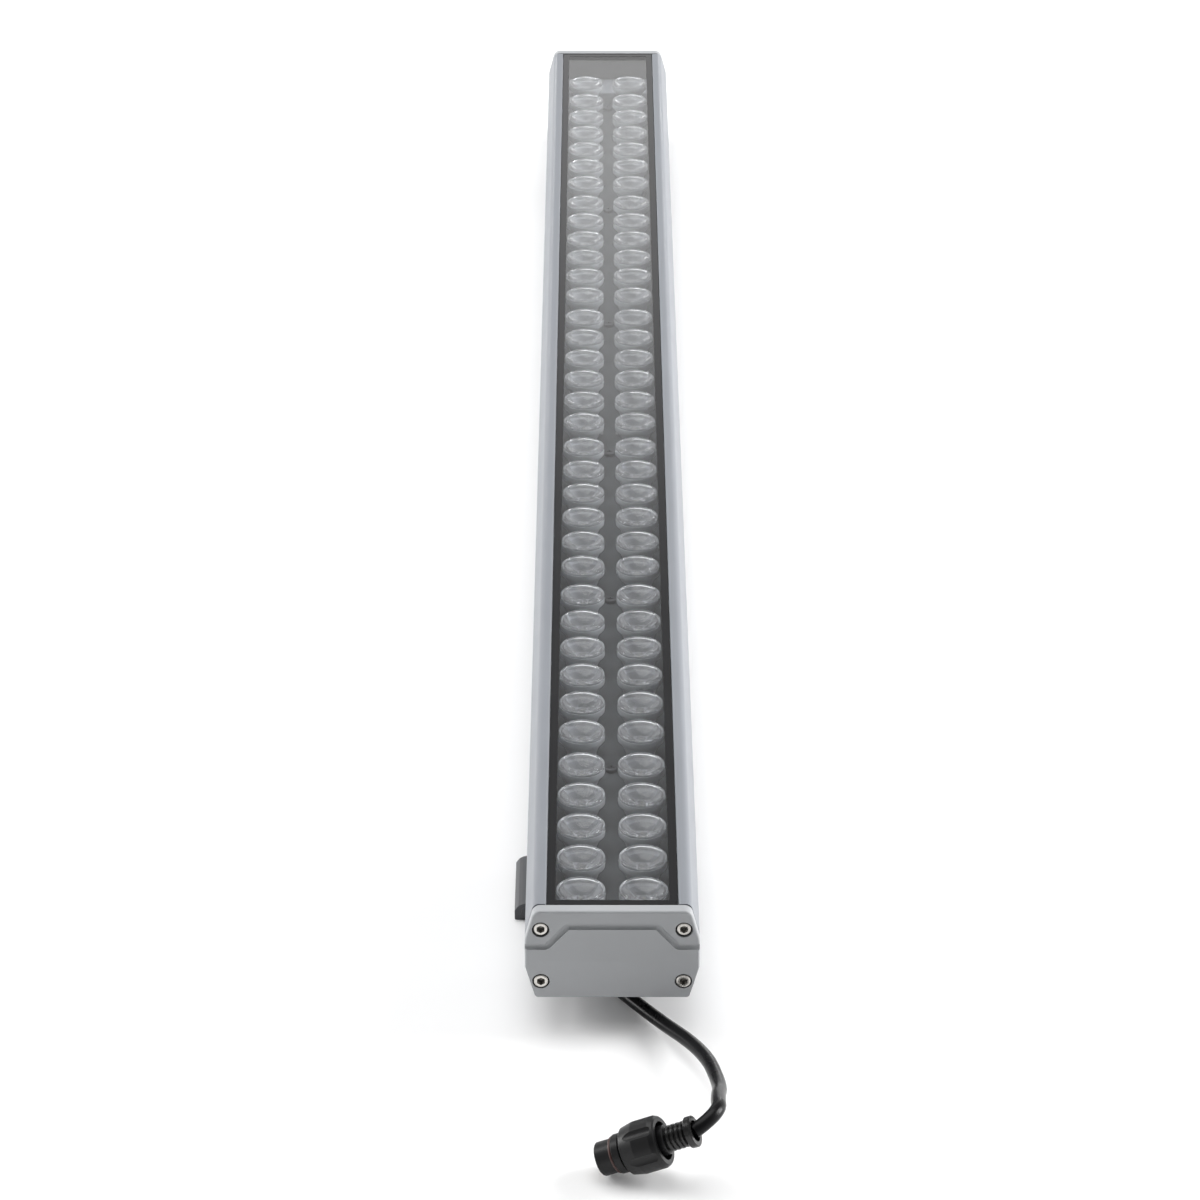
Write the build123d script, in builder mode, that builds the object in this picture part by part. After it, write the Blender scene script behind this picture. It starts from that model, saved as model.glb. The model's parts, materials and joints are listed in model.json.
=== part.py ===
from build123d import *
import math
import os

os.makedirs("parts", exist_ok=True)

# Driving dimensions, mm. The batten lies along Y, light face up, and stands on its brackets.
LENGTH = 1000.0
TOP_Z = 56.0
BOTTOM_Z = 14.0
END_Y = LENGTH / 2
CAP_THICKNESS = 5.2
GASKET_THICKNESS = 0.8
HALF_EXTRUSION = END_Y - CAP_THICKNESS - GASKET_THICKNESS

# Outer section of the housing, as X and Z
OUTLINE = [
    (-31.7, BOTTOM_Z),
    (-36.0, 29.0),
    (-36.0, 42.0),
    (-32.3, TOP_Z),
    (32.3, TOP_Z),
    (36.0, 42.0),
    (36.0, 29.0),
    (31.7, BOTTOM_Z),
]
SHOULDER_Z = 42.0
SHOULDER_RADIUS = 6.0
BASE_RADIUS = 1.5
HOUSING_TOP_RADIUS = 3.0
CAP_TOP_RADIUS = 3.8

# Lamp chamber and glass rebate
GLASS_TOP_Z = 55.5
GLASS_THICKNESS = 3.9
PRINT_THICKNESS = 0.1
SEAL_THICKNESS = 0.6
LEDGE_Z = 51.0
REBATE_HALF_WIDTH = 27.3
WINDOW_HALF_WIDTH = 23.7
CHAMBER_HALF_WIDTH = 24.8
WEB_TOP_Z = 36.5
WEB_BOTTOM_Z = 33.0
GLASS_HALF_WIDTH = 27.2
GLASS_HALF_LENGTH = 493.9
SEAL_BORDER = 3.7

# Screws of the end caps
SCREW_X = 29.4
SCREW_HEIGHTS = (47.2, 22.0)
PORT_RADIUS = 1.7
PORT_BOSS_RADIUS = 3.2
CAP_HOLE_RADIUS = 1.9
CAP_SINK_RADIUS = 3.6
CAP_SINK_DEPTH = 2.8
SCREW_HEAD_RADIUS = 3.2
SCREW_HEAD_HEIGHT = 2.4
SCREW_SHANK_RADIUS = 1.66
SCREW_SHANK_LENGTH = 14.0

# Face of the end caps
CAP_EDGE_RADIUS = 1.0
CUT_HALF_WIDTH = 40.0
FOLD_Z = 32.1
FOLD_SETBACK = 1.0
GROOVE_RADIUS = 1.4
GROOVE_PATH = [
    (-38.0, 39.0),
    (-27.0, 39.0),
    (-18.5, 48.65),
    (18.5, 48.65),
    (27.0, 39.0),
    (38.0, 39.0),
]

# Lamp boards: two alike, each with 18 lenses per row in groups
BOARD_STARTS = (-489.5, -11.6)
BOARD_LENGTH = 477.8
BOARD_WIDTH = 48.6
BOARD_THICKNESS = 1.6
LENS_GROUPS = (5, 6, 6, 1)
LENS_PITCH = 26.0
GROUP_PITCH = 29.3
LENS_MARGIN = 13.0
LENS_ROW_X = 13.0
LENS_BASE_Z = WEB_TOP_Z + BOARD_THICKNESS
BOARD_SCREW_RADIUS = 1.5

# Driver in the left channel
DRIVER_X = -17.8
DRIVER_WIDTH = 15.6
DRIVER_BOTTOM_Z = 19.0
DRIVER_FRONT_Y = -391.0
DRIVER_LENGTH = 120.0
DRIVER_WALL = 1.2
GLAND_X = -19.0
GLAND_Z = 26.0
GLAND_FRONT_Y = -400.0
LEAD_Z = 29.0
LEAD_SPACING = 2.2
LEAD_RADIUS = 0.8
WEB_HOLE_Y = 478.0
WEB_HOLE_RADIUS = 3.5

# Mounting brackets: a hinged base and arm clamped to the rail under the housing
BRACKET_LENGTH = 40.0
NEAR_BRACKET_Y = -396.6
FAR_BRACKET_Y = 396.6
FAR_BRACKET_SHIFT = 9.0
HINGE_X = -36.3
HINGE_Z = 4.2
BEAD_RADIUS = 2.54
SOCKET_RADIUS = 2.6
CLAMP_SPACING = 20.0

# Cable and connector
CABLE_DIAMETER = 6.0
CABLE_ROUTE = [
    (-19.0, -400.0, 26.0),
    (-19.0, -427.0, 26.0),
    (-12.0, -453.7, 3.0),
    (16.0, -495.9, 3.0),
    (37.4, -535.6, 11.8),
    (43.2, -566.7, 15.6),
    (41.4, -585.7, 23.8),
    (41.6, -604.5, 29.0),
    (31.6, -609.6, 23.7),
]
CONNECTOR_FACE = (32.1, -609.7, 24.0)
CONNECTOR_DIRECTION = (-0.8912, 0.1468, -0.4291)


def across(y):
    """Plane across the batten at the given Y, drawn in X and Z."""
    return Plane.XZ.offset(-y)


def both_sides(points):
    """Closed point list made of a right-hand chain and its mirror image."""
    return points + [(-x, z) for x, z in reversed(points)]


def housing_outline(top_radius):
    """Outer section shared by the extrusion, the gaskets and the end caps."""
    with BuildSketch() as outline:
        with BuildLine():
            Polyline(*OUTLINE, close=True)
        make_face()
        fillet(outline.vertices().group_by(Axis.Y)[-1], radius=top_radius)
        shoulders = outline.vertices().filter_by_position(Axis.Y, SHOULDER_Z - 0.1, SHOULDER_Z + 0.1)
        fillet(shoulders, radius=SHOULDER_RADIUS)
        fillet(outline.vertices().group_by(Axis.Y)[0], radius=BASE_RADIUS)
    return outline.sketch


def lens_places(board_start):
    """X and Y of the 36 lenses on one board."""
    places = []
    y = board_start + LENS_MARGIN
    for group in LENS_GROUPS:
        for step in range(group):
            places.append((-LENS_ROW_X, y))
            places.append((LENS_ROW_X, y))
            y += LENS_PITCH
        y += GROUP_PITCH - LENS_PITCH
    return places


def board_screw_places(board_start):
    """The screws sit between the rows, in the wider gaps between the lens groups."""
    places = []
    y = board_start + LENS_MARGIN
    for group in LENS_GROUPS[:-1]:
        y += (group - 1) * LENS_PITCH + GROUP_PITCH / 2
        places.append((0.0, y))
        y += GROUP_PITCH / 2
    return places


BOARD_SCREWS = board_screw_places(BOARD_STARTS[0]) + board_screw_places(BOARD_STARTS[1])

# Section of the lamp chamber with the glass rebate above it
CHAMBER = both_sides([
    (REBATE_HALF_WIDTH + 0.4, TOP_Z),
    (REBATE_HALF_WIDTH, TOP_Z - 0.4),
    (REBATE_HALF_WIDTH, LEDGE_Z),
    (WINDOW_HALF_WIDTH, LEDGE_Z),
    (WINDOW_HALF_WIDTH, 49.5),
    (CHAMBER_HALF_WIDTH, 49.5),
    (CHAMBER_HALF_WIDTH, WEB_TOP_Z),
])
# Open channel under the web, left of the rail; the right one is its mirror image
LEFT_CHANNEL = [
    (-33.2, WEB_BOTTOM_Z),
    (-33.2, 29.3),
    (-29.6, 16.0),
    (-27.0, 16.0),
    (-27.0, BOTTOM_Z),
    (-9.0, BOTTOM_Z),
    (-9.0, WEB_BOTTOM_Z),
]
RAIL_SLOT = both_sides([(3.2, BOTTOM_Z), (3.2, 16.4), (6.2, 16.4), (6.2, 21.4)])
RAIL_HOLLOW = both_sides([(7.0, 23.4), (7.0, WEB_BOTTOM_Z)])
SIDE_CELL = [(27.0, 44.0), (33.2, 41.5), (33.2, 37.0), (27.0, 37.0)]
FIN_PLACES = (13.0, 17.0, 21.0, 25.0, 29.0)
FIN_THICKNESS = 1.2
FIN_BOTTOM_Z = 25.0

with BuildPart() as housing_extrusion:
    with BuildSketch(across(-HALF_EXTRUSION)) as housing_section:
        add(housing_outline(HOUSING_TOP_RADIUS))
        for hollow in (CHAMBER, RAIL_SLOT, RAIL_HOLLOW):
            with BuildLine():
                Polyline(*hollow, close=True)
            make_face(mode=Mode.SUBTRACT)
        for side in (-1, 1):
            with BuildLine():
                Polyline(*[(-side * x, z) for x, z in LEFT_CHANNEL], close=True)
            make_face(mode=Mode.SUBTRACT)
            with BuildLine():
                Polyline(*[(side * x, z) for x, z in SIDE_CELL], close=True)
            make_face(mode=Mode.SUBTRACT)
        for x in FIN_PLACES:
            with Locations((x, (WEB_BOTTOM_Z + FIN_BOTTOM_Z) / 2)):
                Rectangle(FIN_THICKNESS, WEB_BOTTOM_Z - FIN_BOTTOM_Z)
        with Locations((-SCREW_X, SCREW_HEIGHTS[1]), (SCREW_X, SCREW_HEIGHTS[1])):
            Circle(PORT_BOSS_RADIUS)
        with Locations(*[(side * SCREW_X, z) for side in (-1, 1) for z in SCREW_HEIGHTS]):
            Circle(PORT_RADIUS, mode=Mode.SUBTRACT)
    extrude(amount=-2 * HALF_EXTRUSION)
    with BuildSketch(Plane.XY.offset(WEB_TOP_Z)):
        with Locations((GLAND_X, WEB_HOLE_Y)):
            Circle(WEB_HOLE_RADIUS)
        with Locations(*BOARD_SCREWS):
            Circle(BOARD_SCREW_RADIUS)
    extrude(amount=WEB_BOTTOM_Z - WEB_TOP_Z, mode=Mode.SUBTRACT)


def end_cap():
    """End cap for the cable end, with its groove, fold and sunk screw holes."""
    with BuildPart() as cap:
        with BuildSketch(across(-END_Y + CAP_THICKNESS)):
            add(housing_outline(CAP_TOP_RADIUS))
        extrude(amount=CAP_THICKNESS)
        fillet(cap.faces().sort_by(Axis.Y)[0].edges(), radius=CAP_EDGE_RADIUS)
        with BuildSketch(Plane.YZ.offset(-CUT_HALF_WIDTH)):
            with BuildLine():
                Polyline(
                    (-END_Y - 1.0, FOLD_Z),
                    (-END_Y, FOLD_Z),
                    (-END_Y + FOLD_SETBACK, BOTTOM_Z),
                    (-END_Y + FOLD_SETBACK, BOTTOM_Z - 1.0),
                    (-END_Y - 1.0, BOTTOM_Z - 1.0),
                    close=True,
                )
            make_face()
        extrude(amount=2 * CUT_HALF_WIDTH, mode=Mode.SUBTRACT)
        with BuildLine(across(-END_Y)):
            FilletPolyline(*GROOVE_PATH, radius=2.0)
        with BuildSketch(Plane(origin=(GROOVE_PATH[0][0], -END_Y, GROOVE_PATH[0][1]), z_dir=(1, 0, 0))):
            Circle(GROOVE_RADIUS)
        sweep(mode=Mode.SUBTRACT)
        for side in (-1, 1):
            for z in SCREW_HEIGHTS:
                with Locations(Plane(origin=(side * SCREW_X, -END_Y, z), z_dir=(0, -1, 0))):
                    CounterBoreHole(CAP_HOLE_RADIUS, CAP_SINK_RADIUS, CAP_SINK_DEPTH, CAP_THICKNESS)
    return cap.part


def end_gasket():
    """Flat rubber sheet behind an end cap, a little smaller than the cap all round."""
    with BuildPart() as gasket:
        with BuildSketch(across(-HALF_EXTRUSION)):
            add(housing_outline(HOUSING_TOP_RADIUS))
            offset(amount=-0.5, kind=Kind.INTERSECTION, mode=Mode.REPLACE)
            with Locations(*[(side * SCREW_X, z) for side in (-1, 1) for z in SCREW_HEIGHTS]):
                Circle(CAP_HOLE_RADIUS, mode=Mode.SUBTRACT)
        extrude(amount=GASKET_THICKNESS)
    return gasket.part


def cap_screws():
    """Four rounded hex-socket screws of one end cap."""
    seat_y = -END_Y + CAP_SINK_DEPTH
    with BuildPart() as screws:
        for side in (-1, 1):
            for z in SCREW_HEIGHTS:
                with BuildSketch(Plane(origin=(side * SCREW_X, seat_y, z), z_dir=(0, -1, 0))):
                    Circle(SCREW_HEAD_RADIUS)
                extrude(amount=SCREW_HEAD_HEIGHT)
                with BuildSketch(Plane(origin=(side * SCREW_X, seat_y, z), z_dir=(0, 1, 0))):
                    Circle(SCREW_SHANK_RADIUS)
                extrude(amount=SCREW_SHANK_LENGTH)
        heads = screws.edges().filter_by(GeomType.CIRCLE).group_by(Axis.Y)[0]
        fillet(heads, radius=0.9)
        for side in (-1, 1):
            for z in SCREW_HEIGHTS:
                with BuildSketch(Plane(origin=(side * SCREW_X, seat_y - SCREW_HEAD_HEIGHT, z), z_dir=(0, -1, 0))):
                    RegularPolygon(1.6, 6, major_radius=False)
                extrude(amount=-2.6, mode=Mode.SUBTRACT)
    return screws.part


with BuildPart() as end_cap_near:
    add(end_cap())

with BuildPart() as end_cap_far:
    add(end_cap().mirror(Plane.XZ))

with BuildPart() as end_gasket_near:
    add(end_gasket())

with BuildPart() as end_gasket_far:
    add(end_gasket().mirror(Plane.XZ))

with BuildPart() as cap_screws_near:
    add(cap_screws())

with BuildPart() as cap_screws_far:
    add(cap_screws().mirror(Plane.XZ))

with BuildPart() as glass_cover:
    with BuildSketch(Plane.XY.offset(GLASS_TOP_Z - GLASS_THICKNESS)):
        Rectangle(2 * GLASS_HALF_WIDTH, 2 * GLASS_HALF_LENGTH)
    extrude(amount=GLASS_THICKNESS)
    chamfer(glass_cover.faces().sort_by(Axis.Z)[-1].edges(), length=0.3)

# Black enamel frame on the glass
with BuildPart() as glass_print:
    with BuildSketch(Plane.XY.offset(GLASS_TOP_Z)):
        Rectangle(2 * (GLASS_HALF_WIDTH - 0.3), 2 * (GLASS_HALF_LENGTH - 0.3))
        Rectangle(
            2 * (GLASS_HALF_WIDTH - SEAL_BORDER),
            2 * (GLASS_HALF_LENGTH - SEAL_BORDER),
            mode=Mode.SUBTRACT,
        )
    extrude(amount=PRINT_THICKNESS)

# Rubber frame between the glass and the ledges
with BuildPart() as glass_seal:
    with BuildSketch(Plane.XY.offset(LEDGE_Z)):
        Rectangle(2 * GLASS_HALF_WIDTH, 2 * GLASS_HALF_LENGTH)
        Rectangle(
            2 * (GLASS_HALF_WIDTH - SEAL_BORDER),
            2 * (GLASS_HALF_LENGTH - SEAL_BORDER),
            mode=Mode.SUBTRACT,
        )
    extrude(amount=SEAL_THICKNESS)


def led_board(start):
    """Aluminium lamp board with holes for its screws."""
    with BuildPart() as board:
        with BuildSketch(Plane.XY.offset(WEB_TOP_Z)):
            with Locations((0.0, start + BOARD_LENGTH / 2)):
                RectangleRounded(BOARD_WIDTH, BOARD_LENGTH, 1.0)
            with Locations(*board_screw_places(start)):
                Circle(1.7, mode=Mode.SUBTRACT)
        extrude(amount=BOARD_THICKNESS)
    return board.part


def led_package():
    """One LED: square ceramic base with a silicone dome."""
    with BuildPart() as package:
        with BuildSketch():
            RectangleRounded(3.4, 3.4, 0.3)
        extrude(amount=0.7)
        with BuildSketch(Plane.XZ):
            with BuildLine():
                Polyline((0.3, 1.7), (0.0, 1.7), (0.0, 0.5), (1.3, 0.5), (1.3, 0.7))
                ThreePointArc((1.3, 0.7), (0.95, 1.4), (0.3, 1.7))
            make_face()
        revolve(axis=Axis.Z)
    return package.part


def lens_body():
    """Moulded collimator lens with a flat rim, a bowl on top and a pocket for the LED."""
    with BuildPart() as lens:
        with BuildSketch(Plane.XZ):
            with BuildLine():
                ThreePointArc((0.6, 9.3), (4.8, 10.1), (8.4, 12.1))
                Polyline((8.4, 12.1), (10.2, 12.1), (10.2, 10.9), (9.2, 10.9))
                ThreePointArc((9.2, 10.9), (7.1, 6.0), (4.3, 1.6))
                Polyline((4.3, 1.6), (2.3, 1.6), (2.3, 5.0))
                ThreePointArc((2.3, 5.0), (1.7, 6.1), (0.6, 6.6))
                Polyline((0.6, 6.6), (0.0, 6.6), (0.0, 9.3), (0.6, 9.3))
            make_face()
        revolve(axis=Axis.Z)
    return lens.part


def lens_holder():
    """Cup that carries one lens by its rim."""
    with BuildPart() as holder:
        with BuildSketch(Plane.XZ):
            with BuildLine():
                Polyline(
                    (3.2, 0.0), (10.2, 0.0), (10.2, 10.9), (9.3, 10.9), (9.3, 1.6), (3.2, 1.6), close=True
                )
            make_face()
        revolve(axis=Axis.Z)
    return holder.part


def on_board(piece, board_start):
    """Copies of one piece at every lens of a board."""
    with BuildPart() as group:
        with Locations(*[(x, y, LENS_BASE_Z) for x, y in lens_places(board_start)]):
            add(piece)
    return group.part


def board_screws(start):
    """Pan-head screws that hold a board down on the web."""
    with BuildPart() as screws:
        for place in board_screw_places(start):
            with BuildSketch(Plane.XY.offset(LENS_BASE_Z)):
                with Locations(place):
                    Circle(2.7)
            extrude(amount=1.8)
            with BuildSketch(Plane.XY.offset(LENS_BASE_Z)):
                with Locations(place):
                    Circle(1.46)
            extrude(amount=-4.9)
        fillet(screws.edges().filter_by(GeomType.CIRCLE).group_by(Axis.Z)[-1], radius=0.7)
        for place in board_screw_places(start):
            with BuildSketch(Plane.XY.offset(LENS_BASE_Z + 1.8)):
                with Locations(place):
                    Rectangle(2.8, 0.7)
                    Rectangle(0.7, 2.8)
            extrude(amount=-0.9, mode=Mode.SUBTRACT)
    return screws.part


with BuildPart() as led_board_near:
    add(led_board(BOARD_STARTS[0]))

with BuildPart() as led_board_far:
    add(led_board(BOARD_STARTS[1]))

with BuildPart() as led_packages_near:
    add(on_board(led_package(), BOARD_STARTS[0]))

with BuildPart() as led_packages_far:
    add(on_board(led_package(), BOARD_STARTS[1]))

with BuildPart() as lenses_near:
    add(on_board(lens_body(), BOARD_STARTS[0]))

with BuildPart() as lenses_far:
    add(on_board(lens_body(), BOARD_STARTS[1]))

with BuildPart() as lens_holders_near:
    add(on_board(lens_holder(), BOARD_STARTS[0]))

with BuildPart() as lens_holders_far:
    add(on_board(lens_holder(), BOARD_STARTS[1]))

with BuildPart() as board_screws_near:
    add(board_screws(BOARD_STARTS[0]))

with BuildPart() as board_screws_far:
    add(board_screws(BOARD_STARTS[1]))

# Two short bridges carry the current from one board to the next
with BuildPart() as board_links:
    with BuildSketch(Plane.XZ.offset(17.6)):
        with Locations((-4.0, LENS_BASE_Z), (4.0, LENS_BASE_Z)):
            Rectangle(1.6, 1.0, align=(Align.CENTER, Align.MIN))
    extrude(amount=-12.0)

DRIVER_MID_Y = DRIVER_FRONT_Y + DRIVER_LENGTH / 2
DRIVER_BACK_Y = DRIVER_FRONT_Y + DRIVER_LENGTH

# Driver case: an open tray hung under the web, closed from below by its lid
with BuildPart() as driver_case:
    with BuildSketch(Plane.XY.offset(DRIVER_BOTTOM_Z)):
        with Locations((DRIVER_X, DRIVER_MID_Y)):
            RectangleRounded(DRIVER_WIDTH, DRIVER_LENGTH, 1.6)
    extrude(amount=WEB_BOTTOM_Z - DRIVER_BOTTOM_Z)
    with BuildSketch(Plane.XY.offset(DRIVER_BOTTOM_Z)):
        with Locations((DRIVER_X, DRIVER_MID_Y)):
            Rectangle(DRIVER_WIDTH - 2 * DRIVER_WALL, DRIVER_LENGTH - 2 * DRIVER_WALL)
    extrude(amount=WEB_BOTTOM_Z - DRIVER_BOTTOM_Z - DRIVER_WALL, mode=Mode.SUBTRACT)
    with BuildSketch(across(DRIVER_FRONT_Y)):
        with Locations((GLAND_X, GLAND_Z)):
            Circle(4.0)
    extrude(amount=-2.0, mode=Mode.SUBTRACT)
    with BuildSketch(across(DRIVER_BACK_Y)):
        with Locations((GLAND_X, LEAD_Z)):
            SlotCenterToCenter(LEAD_SPACING, 2.0)
    extrude(amount=2.0, mode=Mode.SUBTRACT)

with BuildPart() as driver_lid:
    with BuildSketch(Plane.XY.offset(DRIVER_BOTTOM_Z)):
        with Locations((DRIVER_X, DRIVER_MID_Y)):
            Rectangle(DRIVER_WIDTH - 2 * DRIVER_WALL - 0.1, DRIVER_LENGTH - 2 * DRIVER_WALL - 0.1)
    extrude(amount=DRIVER_WALL)

DRIVER_BOARD_Z = 22.0

with BuildPart() as driver_board:
    with BuildSketch(Plane.XY.offset(DRIVER_BOARD_Z)):
        with Locations((DRIVER_X, DRIVER_MID_Y)):
            Rectangle(12.6, 112.0)
    extrude(amount=1.2)

# Standoffs between the lid and the driver board
with BuildPart() as driver_standoffs:
    with BuildSketch(Plane.XY.offset(DRIVER_BOTTOM_Z + DRIVER_WALL)):
        with Locations((DRIVER_X, DRIVER_MID_Y)):
            with GridLocations(8.0, 100.0, 2, 2):
                Circle(1.8)
    extrude(amount=DRIVER_BOARD_Z - DRIVER_BOTTOM_Z - DRIVER_WALL)

# Terminal, transformer and capacitors on the driver board
COMPONENT_Z = DRIVER_BOARD_Z + 1.2
with BuildPart() as driver_components:
    with BuildSketch(Plane.XY.offset(COMPONENT_Z)):
        with Locations((DRIVER_X, DRIVER_MID_Y - 40.0)):
            Rectangle(11.0, 9.0)
        with Locations((DRIVER_X, DRIVER_MID_Y + 24.0)):
            RectangleRounded(10.0, 12.0, 0.8)
    extrude(amount=6.0)
    with BuildSketch(Plane.XY.offset(COMPONENT_Z)):
        with Locations((DRIVER_X, DRIVER_MID_Y - 6.0)):
            RectangleRounded(12.0, 16.0, 1.0)
    extrude(amount=4.0)
    with BuildSketch(Plane.XY.offset(COMPONENT_Z)):
        with Locations((DRIVER_X, DRIVER_MID_Y - 6.0)):
            RectangleRounded(9.0, 11.0, 2.0)
    extrude(amount=7.4)
    with BuildSketch(across(DRIVER_MID_Y + 14.0)):
        with Locations((DRIVER_X, COMPONENT_Z + 3.8)):
            Circle(3.8)
    extrude(amount=10.0)
    with BuildSketch(across(DRIVER_MID_Y + 50.0)):
        with Locations((DRIVER_X, COMPONENT_Z + 3.2)):
            Circle(3.2)
    extrude(amount=14.0)

# Cable gland on the front of the driver case
with BuildPart() as gland_body:
    with BuildSketch(across(DRIVER_FRONT_Y)):
        with Locations((GLAND_X, GLAND_Z)):
            RegularPolygon(5.4, 6, major_radius=False)
    extrude(amount=3.0)
    with BuildSketch(across(DRIVER_FRONT_Y - 3.0)):
        with Locations((GLAND_X, GLAND_Z)):
            Circle(4.4)
    extrude(amount=3.0)
    with BuildSketch(across(DRIVER_FRONT_Y)):
        with Locations((GLAND_X, GLAND_Z)):
            Circle(3.9)
    extrude(amount=-3.4)
    with BuildSketch(across(DRIVER_FRONT_Y - 6.0)):
        with Locations((GLAND_X, GLAND_Z)):
            Circle(2.4)
    extrude(amount=-9.4, mode=Mode.SUBTRACT)

with BuildPart() as gland_nut:
    with BuildSketch(across(DRIVER_FRONT_Y - 3.2)):
        with Locations((GLAND_X, GLAND_Z)):
            RegularPolygon(5.4, 6, major_radius=False)
    extrude(amount=DRIVER_FRONT_Y - 3.2 - GLAND_FRONT_Y)
    with BuildSketch(across(DRIVER_FRONT_Y - 3.2)):
        with Locations((GLAND_X, GLAND_Z)):
            Circle(4.5)
    extrude(amount=2.8, mode=Mode.SUBTRACT)
    with BuildSketch(across(GLAND_FRONT_Y)):
        with Locations((GLAND_X, GLAND_Z)):
            Circle(3.6)
    extrude(amount=-4.0, mode=Mode.SUBTRACT)
    chamfer(gland_nut.faces().sort_by(Axis.Y)[0].outer_wire().edges(), length=0.6)

# Rubber plug squeezed by the nut; the cable's jacket ends against its face
with BuildPart() as gland_seal:
    with BuildSketch(across(GLAND_FRONT_Y)):
        with Locations((GLAND_X, GLAND_Z)):
            Circle(3.55)
    extrude(amount=-2.9)

# Three wires from the cable into the driver's terminal
with BuildPart() as mains_leads:
    with BuildSketch(across(GLAND_FRONT_Y + 2.9)):
        with Locations((GLAND_X, GLAND_Z)):
            with PolarLocations(1.3, 3):
                Circle(0.8)
    extrude(amount=-16.0)

# Nothing else touches the wires on their way: they run under the web to the far end and up
with BuildPart() as output_leads:
    for lead_x in (GLAND_X - LEAD_SPACING / 2, GLAND_X + LEAD_SPACING / 2):
        with BuildLine():
            FilletPolyline(
                (lead_x, DRIVER_BACK_Y - 4.0, LEAD_Z),
                (lead_x, WEB_HOLE_Y, LEAD_Z),
                (lead_x, WEB_HOLE_Y, LENS_BASE_Z + 1.0),
                (lead_x, BOARD_STARTS[1] + BOARD_LENGTH - 1.0, LENS_BASE_Z + 1.0),
                radius=3.0,
            )
        with BuildSketch(across(DRIVER_BACK_Y - 4.0)):
            with Locations((lead_x, LEAD_Z)):
                Circle(LEAD_RADIUS)
        sweep()

# Solder pads where the wires end on the far board
with BuildPart() as solder_joints:
    with BuildSketch(Plane.XY.offset(LENS_BASE_Z)):
        with Locations(
            (GLAND_X - LEAD_SPACING / 2, BOARD_STARTS[1] + BOARD_LENGTH - 2.0),
            (GLAND_X + LEAD_SPACING / 2, BOARD_STARTS[1] + BOARD_LENGTH - 2.0),
        ):
            RectangleRounded(1.9, 2.0, 0.4)
    extrude(amount=2.0)



def grommet_ring():
    """Rubber ring that lines the hole in the web."""
    with BuildPart() as ring:
        with BuildSketch(Plane.XZ):
            with BuildLine():
                Polyline(
                    (2.2, WEB_BOTTOM_Z - 1.2),
                    (4.8, WEB_BOTTOM_Z - 1.2),
                    (4.8, WEB_BOTTOM_Z),
                    (3.45, WEB_BOTTOM_Z),
                    (3.45, WEB_TOP_Z),
                    (4.6, WEB_TOP_Z),
                    (4.2, WEB_TOP_Z + 1.0),
                    (2.2, WEB_TOP_Z + 1.0),
                    close=True,
                )
            make_face()
        revolve(axis=Axis.Z)
    return ring.part


def lead_saddle():
    """Glued saddle that holds the two wires up against the web."""
    with BuildPart() as saddle:
        with BuildSketch(Plane.XZ):
            with Locations((GLAND_X, WEB_BOTTOM_Z)):
                Rectangle(9.0, 6.2, align=(Align.CENTER, Align.MAX))
                Rectangle(5.2, 5.0, align=(Align.CENTER, Align.MAX), mode=Mode.SUBTRACT)
        extrude(amount=4.0, both=True)
    return saddle.part


SADDLE_SPACING = 150.0

with BuildPart() as web_grommet:
    with Locations((GLAND_X, WEB_HOLE_Y, 0.0)):
        add(grommet_ring())

with BuildPart() as lead_saddles:
    with Locations(*[(0.0, DRIVER_BACK_Y + SADDLE_SPACING * (n + 0.5), 0.0) for n in range(5)]):
        add(lead_saddle())


def bracket_base():
    """Base strip with the round socket of the hinge at the left and a rest rib at the right."""
    with BuildPart() as base:
        with BuildSketch(across(BRACKET_LENGTH / 2)):
            with BuildLine():
                Polyline(
                    (-33.99, 3.0),
                    (14.0, 3.0),
                    (14.0, 11.0),
                    (20.0, 11.0),
                    (20.0, 0.0),
                    (-41.8, 0.0),
                    (-41.8, 4.64),
                )
                Polyline((-41.8, 4.64), (-41.0, 5.9), (-40.1, 6.96), (-38.65, 7.7), (-37.1, 8.1))
                lip = (
                    HINGE_X + SOCKET_RADIUS * math.cos(math.radians(100.0)),
                    HINGE_Z + SOCKET_RADIUS * math.sin(math.radians(100.0)),
                )
                Line((-37.1, 8.1), lip)
                ThreePointArc(lip, (HINGE_X - SOCKET_RADIUS, HINGE_Z), (HINGE_X, HINGE_Z - SOCKET_RADIUS))
                ThreePointArc(
                    (HINGE_X, HINGE_Z - SOCKET_RADIUS),
                    (
                        HINGE_X + SOCKET_RADIUS * math.cos(math.radians(-58.74)),
                        HINGE_Z + SOCKET_RADIUS * math.sin(math.radians(-58.74)),
                    ),
                    (-33.99, 3.0),
                )
            make_face()
        extrude(amount=BRACKET_LENGTH)
        fillet(base.edges().filter_by(Axis.Y).group_by(Axis.Z)[0], radius=0.8)
        for x in (-24.0, 4.0):
            with Locations(Plane(origin=(x, 0.0, 3.0), z_dir=(0, 0, 1))):
                CounterSinkHole(2.65, 4.6, 3.0, 90)
    return base.part


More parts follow.
